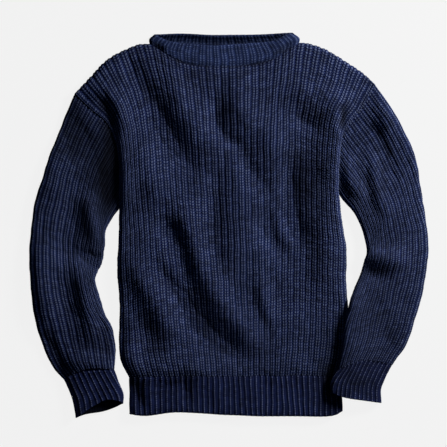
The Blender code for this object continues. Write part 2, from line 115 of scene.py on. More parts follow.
# %% Outlines of the sleeves and cuffs
SLEEVE_LEFT_OUTER = (
    (-290, 248), (-304, 217), (-318, 182), (-347, 102), (-368, 22),
    (-374, -87), (-359, -200), (-331, -266), (-310, -290),
)
SLEEVE_LEFT_INNER = (
    (-206, 34), (-223, 11), (-233, -10), (-235, -39), (-241, -72), (-253, -101),
    (-245, -129), (-234, -166), (-218, -200), (-214, -234), (-218, -272),
)
SLEEVE_RIGHT_OUTER = (
    (275, 264), (306, 220), (327, 182), (346, 139), (361, 67), (371, 3),
    (374, -49), (367, -108), (348, -183), (330, -228), (307, -262),
)
SLEEVE_RIGHT_INNER = (
    (206, 64), (217, 46), (233, 27), (247, 3), (256, -22), (261, -51),
    (254, -73), (246, -97), (231, -134), (217, -181), (212, -223), (203, -268),
)
CUFF_LEFT_SEAM = ((-310, -290), (-288, -276), (-265, -269), (-240, -268), (-218, -272))
CUFF_LEFT_OUTER = ((-310, -290), (-301, -311), (-293, -332), (-288, -362))
CUFF_LEFT_INNER = ((-218, -272), (-209, -294), (-200, -316), (-200, -335))
CUFF_LEFT_EDGE = ((-288, -362), (-270, -356), (-238, -351), (-216, -343), (-200, -335))
CUFF_RIGHT_SEAM = ((307, -262), (286, -256), (256, -254), (226, -259), (203, -268))
CUFF_RIGHT_OUTER = ((307, -262), (292, -290), (286, -308), (286, -334))
CUFF_RIGHT_INNER = ((203, -268), (195, -284), (191, -298), (193, -313))
CUFF_RIGHT_EDGE = ((286, -334), (252, -328), (212, -321), (193, -313))

BODY_LENGTH = 585.0
SLEEVE_LENGTH = 610.0
CUFF_LENGTH = 70.0
HEM_LENGTH = 73.0
BAND_LENGTH = 40.0
print("sleeve", SLEEVE_LENGTH, "mm, body", BODY_LENGTH, "mm along the ribs")

# %% [markdown]
# A panel of knitting has two directions: u counts across the ribs and v runs along them, both
# from 0 to 1. Four edge curves fix where its border lies, and blending them between the edges
# spreads the inside evenly, which is what stretchy cloth does by itself.

# %% Curves and stretched panels
FINE = 60  # points of a curve between two of its knots


def curve_through(points, level=1.0):
    """A smooth curve through the points, as a function of the share of its length.

    A level below 1 counts heights less, so that shares are more even along X.
    """
    knots = np.array(points, float)
    chords = np.hypot(*np.diff(knots, axis=0).T)
    at = np.concatenate([[0.0], np.cumsum(np.sqrt(chords))])
    slopes = np.gradient(knots, at, axis=0)
    fine = np.linspace(0.0, at[-1], FINE * len(chords))
    piece = np.clip(np.searchsorted(at, fine, side="right") - 1, 0, len(chords) - 1)
    span = (at[piece + 1] - at[piece])[:, None]
    t = (fine - at[piece])[:, None] / span
    start = (1 + 2 * t) * (1 - t) ** 2 * knots[piece] + t * (1 - t) ** 2 * span * slopes[piece]
    end = t**2 * (3 - 2 * t) * knots[piece + 1] + t**2 * (t - 1) * span * slopes[piece + 1]
    line = start + end
    steps = np.diff(line, axis=0) * (1.0, level)
    length = np.concatenate([[0.0], np.cumsum(np.hypot(*steps.T))])
    share = length / length[-1]
    return lambda s: np.stack([np.interp(s, share, line[:, k]) for k in (0, 1)], axis=-1)


def joined(curves, splits):
    """Several curves end to end as one, each taking its own stretch of the shares."""
    ends = (0.0, *splits, 1.0)

    def at(s):
        s = np.asarray(s, float)
        xy = curves[0](np.clip(s / ends[1], 0, 1))
        for k in range(1, len(curves)):
            local = (s - ends[k]) / (ends[k + 1] - ends[k])
            xy = np.where((local > 0)[..., None], curves[k](np.clip(local, 0, 1)), xy)
        return xy

    return at


def stretched(bottom, top, left, right, hold=1):
    """Cloth stretched between four edge curves: the place of a share across and along.

    A rib next to a side follows that side. With a greater hold fewer ribs do, and the others
    run straight from one end of the panel to the other.
    """

    def at(u, v):
        across = np.asarray(u, float)[..., None]
        along = np.asarray(v, float)[..., None]
        straight = (1 - along) * bottom(u) + along * top(u)
        bend_left = left(v) - (1 - along) * bottom(0.0) - along * top(0.0)
        bend_right = right(v) - (1 - along) * bottom(1.0) - along * top(1.0)
        return straight + (1 - across) ** hold * bend_left + across**hold * bend_right

    return at


def smooth_step(x, low, high):
    t = np.clip((x - low) / (high - low), 0, 1)
    return t * t * (3 - 2 * t)


print("half way from 0 to 1:", smooth_step(0.5, 0, 1))

# %% [markdown]
# Cloth that lies on a table keeps soft folds. They could come from a cloth simulation, but then
# nobody could say where each one falls. Here each fold is a row in a table: three points of a
# soft curve, its half width and its height, with a height below zero for a trough.
# `fold_height` adds them up for any place on the panel.

# %% Folds of the body
BODY_FOLDS = (
    (-191, 309, -165, 262, -142, 222, 19, -4.3),
    (-144, 229, -115, 165, -68, 105, 25, -7.5),
    (-113, 293, -84, 217, -40, 148, 23, 5.1),
    (-24, 229, -17, 180, 18, 150, 15, -5.5),
    (25, 151, 41, 104, 75, 63, 18, -4.6),
    (20, 277, 19, 228, 49, 181, 22, 5.7),
    (-17, 114, -29, 18, -15, -89, 21, -5.4),
    (-129, 4, -92, -38, -75, -125, 20, -7.5),
    (-134, -77, -107, -116, -79, -156, 15, -5.2),
    (-83, -139, -47, -196, 29, -248, 25, -7.5),
    (-87, 45, -50, -89, 62, -234, 21, 6.4),
    (-190, -59, -142, -138, -104, -216, 24, 8.0),
    (117, 118, 116, 40, 135, -26, 19, -7.5),
    (133, 201, 146, 192, 163, 191, 14, -4.4),
    (72, 29, 76, -19, 100, -50, 20, -6.6),
    (86, 49, 107, 10, 130, -38, 13, -2.2),
    (46, -116, 53, -156, 72, -193, 12, -1.0),
    (60, -91, 65, -140, 85, -181, 15, 4.2),
    (-170, -164, -158, -197, -150, -235, 16, -1.5),
    (11, 104, 25, 38, 23, -69, 18, 1.0),
    (81, 188, 82, 161, 82, 125, 22, 4.5),
    (186, 131, 194, 21, 187, -114, 32, 8.0),
    (206, 251, 193, 177, 195, 90, 25, 6.8),
    (-246, 256, -208, 217, -197, 154, 18, 6.8),
    (-202, 139, -194, 82, -198, 44, 23, 7.1),
    (-165, 142, -153, 99, -134, 54, 28, 6.7),
    (129, -68, 157, -158, 140, -257, 26, -1.0),
    (-180, 317, -178, 311, -175, 304, 10, 0.1),
    (-201, -186, -200, -206, -198, -225, 11, -3.1),
    (-158, -288, -106, -267, -44, -276, 25, 6.4),
    (-188, -215, -183, -248, -166, -275, 14, 3.9),
    (33, 198, 61, 142, 87, 115, 14, -0.7),
    (130, 255, 154, 245, 181, 238, 25, 5.3),
    (-243, 240, -224, 213, -216, 168, 11, -4.5),
    (214, 225, 212, 204, 211, 183, 8, -4.5),
    (205, 240, 203, 170, 199, 82, 10, 3.0),
)
HEM_FOLDS = (
    (-178, -292, -172, -316, -166, -340, 11, -2.4),
    (-150, -290, -148, -318, -146, -344, 10, 1.8),
    (-82, -292, -80, -314, -80, -338, 9, -2.0),
    (-20, -292, -16, -320, -14, -348, 14, 1.2),
    (70, -292, 74, -320, 76, -348, 12, -1.2),
    (150, -292, 152, -320, 152, -348, 14, 1.2),
)
FOLD_POINTS = 21
FOLD_TAPER = 0.85  # share of its height lost at its ends


def fold_height(rows, xy):
    """Soft ridges and troughs: each fades with the distance from its line and at its ends."""
    height = np.zeros(xy.shape[:-1])
    t = np.linspace(0, 1, FOLD_POINTS)[:, None]
    taper = 1 - (2 * t[:, 0] - 1) ** 4 * FOLD_TAPER
    for x1, y1, x2, y2, x3, y3, width, peak in rows:
        start, middle, end = np.array([[x1, y1], [x2, y2], [x3, y3]], float)
        line = start * (1 - t) * (1 - 2 * t) + middle * 4 * t * (1 - t) + end * t * (2 * t - 1)
        shape = np.zeros(xy.shape[:-1])
        for place, share in zip(line, taper):
            away = ((xy - place) ** 2).sum(axis=-1)
            shape = np.maximum(shape, share * np.exp(-away / width**2))
        height += peak * shape
    return height


print(len(BODY_FOLDS), "folds on the body")

# %% Folds of the sleeves
SLEEVE_LEFT_FOLDS = (
    (-301, 207, -284, 163, -279, 121, 24, -4.5),
    (-293, 32, -302, -23, -303, -61, 21, -6.4),
    (-263, 53, -258, 17, -249, -30, 12, 5.5),
    (-278, -51, -258, -67, -234, -70, 16, -7.4),
    (-285, -75, -268, -140, -255, -213, 17, 6.6),
    (-307, -112, -304, -148, -287, -173, 14, -1.1),
    (-298, -259, -266, -257, -234, -259, 17, 5.1),
    (-344, -207, -331, -253, -308, -293, 17, -7.5),
    (-276, -197, -273, -206, -261, -219, 11, -0.1),
    (-319, 113, -325, 85, -327, 48, 23, 2.5),
    (-273, 228, -267, 198, -257, 162, 15, 1.3),
    (-350, -46, -352, -108, -331, -188, 23, 6.2),
)
SLEEVE_RIGHT_FOLDS = (
    (221, 204, 228, 166, 246, 137, 25, -6.8),
    (261, 178, 285, 142, 308, 86, 17, -6.4),
    (220, 118, 225, 86, 251, 57, 14, 5.9),
    (274, 138, 274, 82, 297, 20, 11, 3.8),
    (258, 88, 262, 56, 276, 21, 10, -1.5),
    (260, -54, 290, -60, 327, -60, 19, 7.4),
    (258, -86, 278, -98, 305, -99, 16, -4.1),
    (220, -215, 229, -253, 239, -287, 15, -0.2),
    (295, -197, 301, -220, 310, -238, 15, -1.6),
    (314, 142, 350, 70, 356, -19, 19, -1.9),
    (237, -305, 250, -313, 265, -309, 13, -2.0),
    (270, 238, 289, 214, 310, 186, 24, 6.2),
)
print(len(SLEEVE_LEFT_FOLDS) + len(SLEEVE_RIGHT_FOLDS), "folds on the sleeves")

# %% [markdown]
# Wool that lies deep in a fold or under an edge catches little light, more so than the small
# heights of a model give, so shade is painted into its colour there. A second set of rows says
# where: three points, a half width and how much of the light is lost. This painted shade tints
# the wool only and doesn't move it.

# %% Deep places, darkened by painted shade
BODY_DEEPS = (
    (-248, 242, -227, 215, -216, 172, 12, 0.65),
    (214, 225, 214, 206, 212, 183, 8, 0.75),
    (175, -275, 192, -309, 196, -351, 23, 0.6),
    (190, -178, 182, -225, 173, -275, 13, 0.3),
    (133, 131, 139, 86, 145, 37, 23, 0.55),
    (149, 20, 160, -37, 167, -106, 15, 0.35),
    (139, 213, 164, 212, 190, 202, 13, 0.35),
    (212, -163, 199, -238, 184, -324, 11, 0.6),
    (-158, 281, -130, 225, -73, 116, 13, 0.35),
    (-77, -121, -45, -196, 11, -243, 15, 0.35),
    (-156, -163, -145, -185, -132, -212, 15, 0.5),
    (-139, 339, -132, 334, -124, 326, 8, 0.6),
    (92, 328, 103, 330, 115, 336, 8, 0.55),
    (-9, 251, -6, 221, 2, 195, 13, 0.3),
    (-24, 48, -23, 1, -13, -69, 9, 0.25),
    (-182, -290, -177, -313, -171, -332, 17, 0.45),
    (-79, -287, -77, -306, -73, -328, 13, 0.35),
)
SLEEVE_LEFT_DEEPS = (
    (-216, 142, -224, 70, -231, 18, 17, 0.65),
    (-224, 213, -229, 142, -227, 55, 24, 0.5),
    (-284, 240, -299, 195, -306, 123, 34, 0.45),
    (-237, 251, -216, 189, -211, 40, 15, 0.75),
    (-280, 221, -265, 142, -246, 48, 30, 0.4),
    (-273, 37, -269, -1, -265, -42, 13, 0.4),
    (-288, -97, -282, -125, -276, -155, 9, 0.3),
    (-342, -183, -327, -234, -305, -283, 11, 0.45),
    (-303, -290, -291, -321, -284, -351, 13, 0.3),
)
SLEEVE_RIGHT_DEEPS = (
    (284, -140, 277, -196, 252, -257, 64, 0.32),
    (214, -288, 248, -296, 284, -300, 28, 0.38),
    (209, 86, 220, 67, 233, 48, 8, 0.5),
    (261, -80, 288, -84, 314, -80, 9, 0.4),
    (269, 191, 291, 161, 310, 123, 9, 0.3),
    (280, 123, 286, 101, 291, 74, 8, 0.3),
)
# Painted shade along the sunken neck seam.
NECK_SEAM_DEEPS = (
    (-107, 313, -75, 303, -26, 298, 3, 0.7),
    (-26, 298, 30, 300, 88, 315, 3, 0.7),
)
print(len(BODY_DEEPS) + len(SLEEVE_LEFT_DEEPS) + len(SLEEVE_RIGHT_DEEPS), "deep places")

# %% [markdown]
# Hand knitting is never quite even: the ribs wander and the cloth swells a little. A sum of a
# few long waves with random directions gives that. The random numbers are seeded, so every run
# knits the same sweater, and because the waves depend on the place alone, two panels that meet
# at a seam move together.

# %% Unevenness
WANDER = 0.7  # how far a rib strays
WANDER_SIZE = 60  # in waves of this length
SWELL = 0.35  # how far the cloth swells
SWELL_SIZE = 75
RIPPLE_SIZE = 34  # smaller swells, half as high
SIZE_RANGE = (0.6, 1.6)  # lengths of its waves, as shares of the stated one


def soft_noise(xy, size, seed, waves=7):
    """Smooth noise of about one unit, with swells of about this size."""
    rng = np.random.default_rng(seed)
    total = np.zeros(xy.shape[:-1])
    for _ in range(waves):
        angle, phase = rng.uniform(0, 2 * np.pi, 2)
        turns = 2 * np.pi / (size * rng.uniform(*SIZE_RANGE))
        total += np.sin((xy[..., 0] * np.cos(angle) + xy[..., 1] * np.sin(angle)) * turns + phase)
    return total / np.sqrt(waves)


def wandered(xy):
    drift = np.stack([soft_noise(xy, WANDER_SIZE, seed) for seed in (3, 4)], axis=-1)
    return xy + WANDER * drift


def placed(xy, z):
    return np.concatenate([wandered(xy), np.broadcast_to(z, xy.shape[:-1])[..., None]], axis=-1)


def swell(xy):
    return SWELL * (soft_noise(xy, SWELL_SIZE, 5) + 0.5 * soft_noise(xy, RIPPLE_SIZE, 6))


print("ribs wander by", WANDER, "mm")

# %% [markdown]
# At the edge of a laid garment the cloth turns down to the table in a round roll. `rolled`
# says how far in from the edge a share of the cloth lies and how far up the roll it is. A
# bevel on a flat slab would round the edge too, but the ribs would not run round it.

# %% The roll at an edge
ROLL = 11.5  # how far in from the edge the upper layer starts to turn down
UNDER_ROLL = 7.0  # the same for the layer below
FLAT_ARC = math.sqrt((1 + 0.5**2) / 2)  # for a roll half as high as deep


def rolled(u, width, inset, roll=ROLL):
    """The share of the flat width, and how far up the roll the cloth is there."""
    turn = np.pi / 2 * roll * FLAT_ARC
    cloth = width + 2 * (turn - roll)
    near = np.minimum(u, 1 - u) * cloth
    angle = np.clip(near / turn, 0, 1) * np.pi / 2
    inward = inset + (roll - inset) * (1 - np.cos(angle)) + np.maximum(near - turn, 0)
    share = inward / width
    return np.where(u < 0.5, share, 1 - share), np.sin(angle)


print("the roll takes", round(np.pi / 2 * ROLL * FLAT_ARC, 1), "mm of cloth")

# %% [markdown]
# A half cardigan rib shows two slanting strands for each stitch, which open upwards like the
# letter V, a small dark hole between them, and a deep gap between one rib and the next. The
# welt and cuffs are a tighter rib, whose strands close up into one rounded line.
# `stitch_relief` gives the height of one stitch, from 0 in the gap to 1 on a strand.

# %% Stitches
STRAND = 0.13  # half width of a strand, as a share of its rib
OPEN_STRANDS = (0.17, 0.27)  # where a strand starts and ends, from the rib's middle
CLOSE_STRANDS = (0.0, 0.03)
OPEN_LINE = (0.05, 0.185)  # from a strand's middle, where its light starts to fade and ends
CLOSE_LINE = (0.01, 0.13)
STITCH_UNEVEN = 0.3
HOLE_FLOOR = 0.3  # height between two strands
COURSE_SHIFT = 0.6  # how far the courses of two ribs may be out of step
MOST_RIBS = 100
SQUARENESS = 8  # of a rib's cross section
BEAD = 0.4  # share of its height lost at its ends


def course_shift(rib):
    """How far along a rib its first course starts."""
    shifts = np.random.default_rng(8).uniform(0, COURSE_SHIFT, MOST_RIBS)
    return shifts[np.asarray(rib).astype(int)]


def stitch_relief(rib_at, course_at, strands, seed):
    """The height of the stitches at a count of ribs and courses."""
    rng = np.random.default_rng(seed)
    course_at = course_at + course_shift(rib_at)
    from_middle = np.abs(rib_at % 1 - 0.5)
    climb = course_at % 1
    strand_at = strands[0] + (strands[1] - strands[0]) * climb
    strand = np.exp(-(((from_middle - strand_at) / STRAND) ** 2))
    crown = np.clip(1 - (from_middle / 0.5) ** SQUARENESS, 0, 1)
    bead = 1 - BEAD + BEAD * np.sin(np.pi * climb)
    uneven = rng.uniform(1 - STITCH_UNEVEN, 1, (int(course_at.max()) + 1, int(rib_at.max()) + 1))
    full = uneven[course_at.astype(int), rib_at.astype(int)]
    return crown * (HOLE_FLOOR + (1 - HOLE_FLOOR) * strand * bead) * full


print("height on a strand:", stitch_relief(np.array([0.3]), np.array([0.5]), OPEN_STRANDS, 1))

# %% [markdown]
# Every panel starts as a flat square blank with one face for each stitch. Solidify gives it a
# wall, and the outer faces are then cut finer for the strands, while the inside keeps one face
# a stitch, which saves half of the triangles. A tube such as a sleeve loses the two side walls
# and is welded where they were.

# %% The blank
ALONG = 3  # outer faces along one stitch
PHASES = (0, 0.15, 0.33, 0.5, 0.67, 0.85, 1)  # where a rib is cut: in its gaps and on its strands
ACROSS = len(PHASES) - 1  # outer faces across one rib
NEAR = 1e-5


def level_edges(bm, level, axis):
    """The edges of the wall's face at this level that run along X, axis 0, or Y, axis 1."""
    other = 1 - axis
    found = []
    for edge in bm.edges:
        a, b = (vertex.co for vertex in edge.verts)
        if abs(a.z - level) < 0.5 and abs(b.z - level) < 0.5 and abs(a[other] - b[other]) < NEAR:
            found.append(edge)
    return found


def blank(ribs, courses, tube, both_sides):
    """A unit square wall: z 1 on its outer face and 0 on its inner face."""
    bm = bmesh.new()
    bm.loops.layers.uv.new("knit")
    bmesh.ops.create_grid(bm, x_segments=ribs, y_segments=courses, size=0.5, calc_uvs=True)
    bmesh.ops.translate(bm, verts=bm.verts, vec=(0.5, 0.5, 1.0))
    bmesh.ops.solidify(bm, geom=bm.faces[:], thickness=1.0)
    low = min(vertex.co.z for vertex in bm.verts)
    bmesh.ops.translate(bm, verts=bm.verts, vec=(0, 0, -low))
    if tube:
        centres = [(face, face.calc_center_median().x) for face in bm.faces]
        sides = [face for face, x in centres if min(x, 1 - x) < NEAR]
        bmesh.ops.delete(bm, geom=sides, context="FACES_ONLY")
    for level in (1, 0) if both_sides else (1,):
        for axis, count in ((0, ACROSS), (1, ALONG)):
            edges = level_edges(bm, level, axis)
            bmesh.ops.subdivide_edges(bm, edges=edges, cuts=count - 1, use_grid_fill=True)
    return bm


print("one stitch has", ACROSS * ALONG, "outer faces")

# %% [markdown]
# Laying the blank is the main step. Both of its faces are placed by the panel's own function,
# the normals of the laid cloth are worked out from neighbouring rows and columns, and the
# stitches are raised along them. A vertex value named relief keeps each point's height for the
# material, which paints shade into the low places from it, and one named light keeps the painted
# shade of the deep places and of inner sides. Displacement in the material would not reach the
# exported mesh, so it isn't used.

# %% Laying and knitting a panel
WALL = 3.0  # thickness of a layer between its ribs
# Painted shade on the inner side of a tube.
DARK_INSIDE = 0.15  # light that reaches the inside of a tube
MOST_LOST = 0.85  # the most light that a deep place takes away
INNER_RELIEF = 0.6  # share of the height that stitches have on an inner side
PLAIN_RELIEF = 0.4  # the value of relief on a plain inner side
BARELY_ONE = 0.999999  # keeps the last edge within the last rib and course


def phased(even_count):
    """Moves evenly spaced cuts of a count of ribs to the phases of the strands."""
    rib = np.floor(even_count)
    return rib + np.interp(even_count - rib, np.linspace(0, 1, ACROSS + 1), PHASES)


def grid_of(face, ribs, courses, wall):
    counts = phased(np.linspace(0, ribs, ribs * ACROSS + 1))
    u, v = np.meshgrid(counts / ribs, np.linspace(0, 1, courses * ALONG + 1))
    return u, v, face(u, v, wall, wall)


def normals_of(sheet):
    across = np.gradient(sheet, axis=1)
    along = np.gradient(sheet, axis=0)
    normal = np.cross(across, along)
    return normal / np.maximum(np.linalg.norm(normal, axis=-1, keepdims=True), NEAR)


def cloth_size(sheet):
    """Greatest width, mean length and area of the laid cloth, in metres."""
    across = np.linalg.norm(np.diff(sheet, axis=1), axis=-1)
    along = np.linalg.norm(np.diff(sheet, axis=0), axis=-1)
    area = (across[:-1] * along[:, :-1]).sum()
    return across.sum(axis=1).max() * MM, along.sum(axis=0).mean() * MM, area * MM**2


def knit(name, face, ribs, length, strands, relief, seed, deeps=(), tube=False, inside=None):
    """Makes one panel, as long as this many stitches, and returns it with its flat size.

    With a value for inside it is knitted on both sides, and the value is the painted light on its
    inner side, a painted shade that darkens its colour.
    """
    courses = round(length)
    both_sides = inside is not None
    bm = blank(ribs, courses, tube, both_sides)
    columns, rows = ribs * ACROSS, courses * ALONG
    flat = np.array([vertex.co for vertex in bm.verts])
    u, v = flat[:, 0], flat[:, 1]
    column = np.rint(u * columns).astype(int)
    row = np.rint(v * rows).astype(int)
    outside = flat[:, 2] > 0.5
    grid_u, grid_v, plain = grid_of(face, ribs, courses, 0.0)
    lining = grid_of(face, ribs, courses, WALL)[2]
    size = cloth_size(plain)
    rib_at, course_at = grid_u * ribs * BARELY_ONE, grid_v * courses * BARELY_ONE
    tall = stitch_relief(rib_at, course_at, strands, seed)
    normal = normals_of(plain)
    outward = np.sign((normal * (plain - lining)).sum(axis=-1).mean())
    outer = plain + normal * (outward * relief * tall)[..., None]
    inner_tall = outward * relief * INNER_RELIEF * tall * both_sides
    inner = lining - normals_of(lining) * inner_tall[..., None]
    laid = np.where(outside[:, None], outer[row, column], inner[row, column]) * MM
    # Painted shade: low relief picks the dark gap colour in the material.
    height = np.where(outside | both_sides, tall[row, column], PLAIN_RELIEF)
    # Painted shade: deep places and inner sides lose light in the colour only.
    lost = np.clip(fold_height(deeps, plain[..., :2]), 0, MOST_LOST)[row, column]
    light = np.where(outside, 1 - lost, inside or DARK_INSIDE)
    relief_layer = bm.verts.layers.float.new("relief")
    light_layer = bm.verts.layers.float.new("light")
    for vertex, place, value, share in zip(bm.verts, laid, height, light):
        vertex.co = place
        vertex[relief_layer] = value
        vertex[light_layer] = share
    piece = finished(name, bm, ribs, courses, tube)
    print(f"{name}: {len(piece.data.polygons)} faces, cloth {np.round(size, 3)}")
    return piece, size


def finished(name, bm, ribs, courses, tube):
    """Turns the blank into an object whose UV map counts ribs and courses."""
    if tube:
        bmesh.ops.remove_doubles(bm, verts=bm.verts, dist=1e-6)
    if bm.calc_volume(signed=True) < 0:
        bmesh.ops.reverse_faces(bm, faces=bm.faces)
    mesh = bpy.data.meshes.new(name)
    bm.to_mesh(mesh)
    bm.free()
    mesh.shade_smooth()
    counts = np.empty(len(mesh.loops) * 2, np.float32)
    mesh.uv_layers["knit"].data.foreach_get("uv", counts)
    counts = counts.reshape(-1, 2) * (ribs, courses)
    starts, totals = np.empty((2, len(mesh.polygons)), np.int32)
    mesh.polygons.foreach_get("loop_start", starts)
    mesh.polygons.foreach_get("loop_total", totals)
    middle = np.add.reduceat(counts[:, 0], starts) / totals
    counts[:, 1] += np.repeat(course_shift(np.clip(middle, 0, ribs - 1)), totals)
    counts[:, 0] = phased(counts[:, 0].round(3))
    mesh.uv_layers["knit"].data.foreach_set("uv", counts.astype(np.float32).ravel())
    return added(name, mesh)


print("walls are", WALL, "mm thick between the ribs")

# %% [markdown]
# Wool takes its colour from dye, and the depth of its stitches is painted into that colour: a
# strand's crown gets a painted highlight of soft greyed navy and the gaps get painted shade, a
# blue that is nearly black. The UV map counts ribs and courses, so the strands can be drawn from
# it at any size: `strand_light` is 1 along the middle of a strand and 0 in the gaps, where short
# ties part one painted dark hole from the next. An image of knitting would be quicker, but it
# would repeat and would not follow the strands.

# %% Small steps for building a material
END_LIGHT = 0.1  # light at the end of a strand
FADE_IN = 0.36  # share of a stitch over which it grows from there


def step(tree, kind, *values, **settings):
    """Adds a node, links or sets its inputs in order and returns its first output."""
    node = tree.nodes.new(kind)
    for key, value in settings.items():
        setattr(node, key, value)
    for socket, value in zip(node.inputs, values):
        if isinstance(value, bpy.types.NodeSocket):
            tree.links.new(value, socket)
        elif value is not None:
            socket.default_value = value
    return node.outputs[0]


def maths(tree, operation, *values):
    return step(tree, "ShaderNodeMath", *values, operation=operation)


def stored(tree, name):
    """A value that the mesh keeps at its vertices."""
    return step(tree, "ShaderNodeAttribute", attribute_name=name).node.outputs["Fac"]


def set_inputs(node, values):
    for name, value in values.items():
        node.inputs[name].default_value = value


def strand_light(tree, uv, strands, line, ties):
    """The painted light on the strands and painted shade in the gaps, from the counts of ribs and
    courses in the UV map.

    Ties is for the short strands in a gap, which part its holes: their light, and then where
    it starts to fade and ends, across the gap from its middle and along it from a tie.
    """
    part = step(tree, "ShaderNodeSeparateXYZ", uv).node
    from_gap = maths(tree, "PINGPONG", part.outputs["X"], 0.5)
    climb = maths(tree, "FRACT", part.outputs["Y"])
    strand_at = maths(tree, "MULTIPLY_ADD", climb, strands[0] - strands[1], 0.5 - strands[0])
    away = maths(tree, "ABSOLUTE", maths(tree, "SUBTRACT", from_gap, strand_at))
    soft = {"interpolation_type": "SMOOTHSTEP"}
    across = step(tree, "ShaderNodeMapRange", away, *line, 1.0, 0.0, **soft)
    from_end = maths(tree, "PINGPONG", part.outputs["Y"], 0.5)
    along = step(tree, "ShaderNodeMapRange", from_end, 0.0, FADE_IN, END_LIGHT, 1.0, **soft)
    drawn = maths(tree, "MULTIPLY", across, along)
    strength, across_gap, along_gap = ties
    in_gap = step(tree, "ShaderNodeMapRange", from_gap, *across_gap, strength, 0.0)
    tie = step(tree, "ShaderNodeMapRange", from_end, *along_gap, 1.0, 0.0)
    return maths(tree, "MAXIMUM", drawn, maths(tree, "MULTIPLY", in_gap, tie))


print("a strand is drawn", 2 * OPEN_LINE[1], "of a rib wide at most")

# %% [markdown]
# The finish joins five things: the strands' painted light with the mesh's own relief, which set
# the colour from painted shade in the gaps to a painted highlight on the crowns, a random tone
# for each stitch, slow noise for the dye and for streaks along the ribs, the painted shade left
# in the deep places, and a bump for the twist of the ply and the loose fibres. Sheen stands for
# the short hairs that catch the light on wool.

# %% Wool
DRAWN_SHARE = 0.55  # of the depth, and the mesh's relief gives the rest
GAP_AT, STRAND_AT, CROWN_AT = 0.16, 0.5, 0.88  # where the three blues lie
STITCH_TONE = 0.55  # weight of a stitch's own tone beside dye and streaks
TONE_SUMS = (0.87, 1.67)  # sums of the three for the darkest and lightest tone
TONES = (0.6, 1.4)
DYE_SCALE = 16.0
STREAK_SCALE = 1.7
STREAK_STRETCH = (1.0, 0.14, 0.0)  # long along the ribs
TWIST_SCALE = 1.6
FIBRE_SCALE = 900.0
FIBRE_HEIGHT = 0.6  # beside that of the twist
WOOL_FINISH = {
    "Roughness": 0.9,
    "Specular IOR Level": 0.12,
    "Sheen Weight": 0.06,
    "Sheen Roughness": 0.4,
    "Sheen Tint": (0.5, 0.6, 1.0, 1.0),
}


def wool(name, strands, line, ties, gap, strand, crown, twist_depth):
    material = bpy.data.materials.new(name)
    material.use_nodes = True
    tree = material.node_tree
    shader = tree.nodes["Principled BSDF"]
    set_inputs(shader, WOOL_FINISH)

    place = tree.nodes.new("ShaderNodeTexCoord")
    uv, spot = place.outputs["UV"], place.outputs["Object"]
    light = strand_light(tree, uv, strands, line, ties)
    raised = maths(tree, "MULTIPLY", stored(tree, "relief"), 1 - DRAWN_SHARE)
    light = maths(tree, "MULTIPLY_ADD", light, DRAWN_SHARE, raised)
    # Painted shade and highlight: the ramp runs from a near-black gap to a lighter crown.
    depth = tree.nodes.new("ShaderNodeValToRGB")
    low, high = depth.color_ramp.elements
    low.position, low.color = GAP_AT, (*gap, 1)
    high.position, high.color = CROWN_AT, (*crown, 1)
    depth.color_ramp.elements.new(STRAND_AT).color = (*strand, 1)
    tree.links.new(light, depth.inputs["Fac"])

    stitch = step(tree, "ShaderNodeVectorMath", uv, operation="FLOOR")
    own = step(tree, "ShaderNodeTexWhiteNoise", stitch)
    dye = step(tree, "ShaderNodeTexNoise", spot, None, DYE_SCALE, 3.0)
    stripe = step(tree, "ShaderNodeVectorMath", uv, STREAK_STRETCH, operation="MULTIPLY")
    streaks = step(tree, "ShaderNodeTexNoise", stripe, None, STREAK_SCALE, 2.0)
    tone = maths(tree, "MULTIPLY_ADD", own, STITCH_TONE, maths(tree, "ADD", dye, streaks))
    tone = step(tree, "ShaderNodeMapRange", tone, *TONE_SUMS, *TONES)
    # Painted shade: the stored light of deep places and inner sides darkens the colour.
    tone = maths(tree, "MULTIPLY", tone, stored(tree, "light"))
    colour = tree.nodes.new("ShaderNodeMix")
    colour.data_type = "RGBA"
    colour.blend_type = "MULTIPLY"
    colour.inputs["Factor"].default_value = 1.0
    tree.links.new(depth.outputs["Color"], colour.inputs["A"])
    tree.links.new(tone, colour.inputs["B"])
    tree.links.new(colour.outputs["Result"], shader.inputs["Base Color"])

    part = step(tree, "ShaderNodeSeparateXYZ", uv).node
    mirrored = maths(tree, "PINGPONG", part.outputs["X"], 0.5)
    ply = step(tree, "ShaderNodeCombineXYZ", mirrored, part.outputs["Y"])
    twist = step(tree, "ShaderNodeTexWave", ply, TWIST_SCALE, 1.2, bands_direction="DIAGONAL").node
    fibres = step(tree, "ShaderNodeTexNoise", spot, None, FIBRE_SCALE, 3.0)
    height = maths(tree, "MULTIPLY_ADD", fibres, FIBRE_HEIGHT, twist.outputs["Fac"])
    bump = tree.nodes.new("ShaderNodeBump")
    set_inputs(bump, {"Strength": 0.8, "Distance": twist_depth})
    tree.links.new(height, bump.inputs["Height"])
    tree.links.new(bump.outputs["Normal"], shader.inputs["Normal"])
    return material


# Painted shade and highlight: the gap blues are painted shade, nearly black, and the crown blues a
# painted highlight, lighter and greyer than the middle blue.
GAP_SHADE_BLUE = (0.0006, 0.003, 0.031)
MIDDLE_BLUE = (0.022, 0.036, 0.115)
CROWN_HIGHLIGHT_BLUE = (0.12, 0.148, 0.25)
TRIM_GAP_SHADE = (0.0045, 0.009, 0.047)
TRIM_CROWN_HIGHLIGHT = (0.165, 0.19, 0.32)
BAND_GAP_SHADE = (0.008, 0.017, 0.07)
BAND_CROWN_HIGHLIGHT = (0.1, 0.14, 0.285)
OPEN_LOOK = (OPEN_STRANDS, OPEN_LINE, (0.75, (0.07, 0.18), (0.14, 0.32)))
CLOSE_LOOK = (CLOSE_STRANDS, CLOSE_LINE, (0.62, (0.0, 0.13), (0.3, 1.1)))
body_wool = wool("navy_rib_wool", *OPEN_LOOK, GAP_SHADE_BLUE, MIDDLE_BLUE, CROWN_HIGHLIGHT_BLUE, 0.35 * MM)
